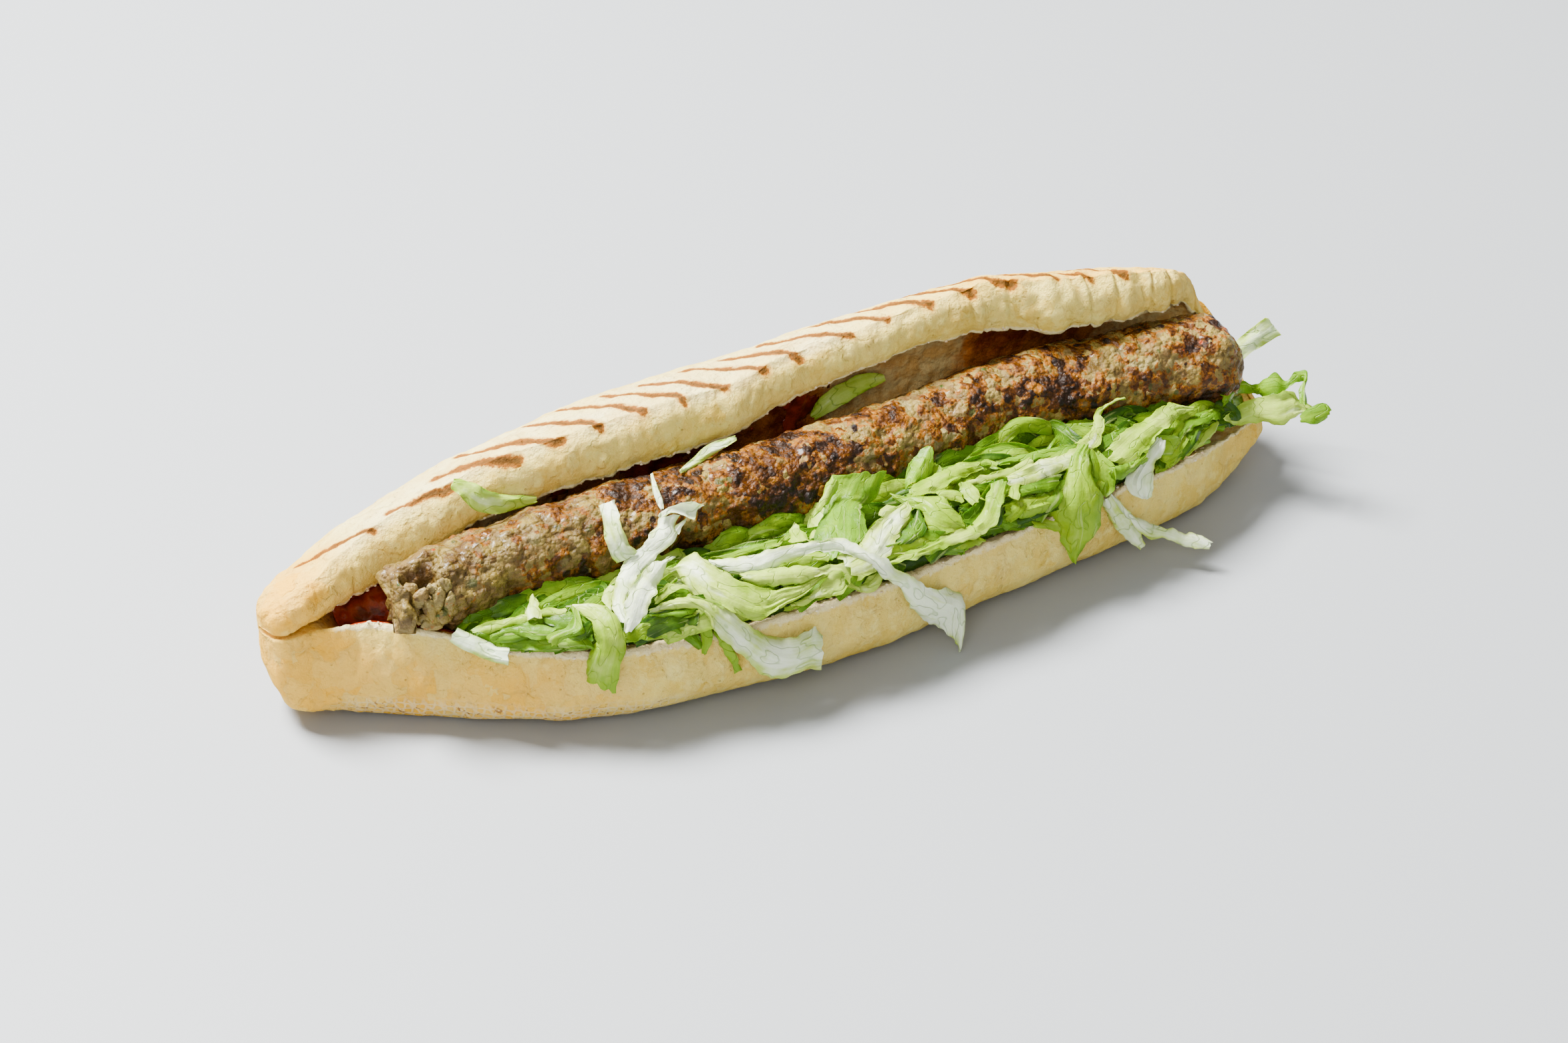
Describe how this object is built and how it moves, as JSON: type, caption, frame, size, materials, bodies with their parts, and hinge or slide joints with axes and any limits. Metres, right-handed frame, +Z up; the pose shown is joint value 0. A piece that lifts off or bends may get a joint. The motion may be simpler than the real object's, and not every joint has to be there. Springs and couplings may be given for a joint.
{
  "type": "minced-meat kebab baguette sandwich",
  "caption": "Long grilled baguette opened along one side and filled with a grilled minced-meat kebab, shredded lettuce and red sauce.",
  "frame": {"origin": "middle of the flat underside of the roll", "axes": "+X along the roll from its closed left end to its right tip, +Y from the open mouth to the uncut side, +Z up"},
  "size_m": [0.2745, 0.0844, 0.0615],
  "materials": {
    "crust": "dry, pale baked crust",
    "meat": "moist grilled minced meat",
    "lettuce": "fresh leaf with a soft sheen"
  },
  "bodies": {
    "root": {"bread": "crust", "kebab": "meat", "lettuce": "lettuce", "leaf_on_lid": "lettuce", "shred_on_kebab": "lettuce", "leaf_under_lid": "lettuce", "sliver_on_kebab": "lettuce", "shred_behind_end": "lettuce"}
  },
  "joints": []
}
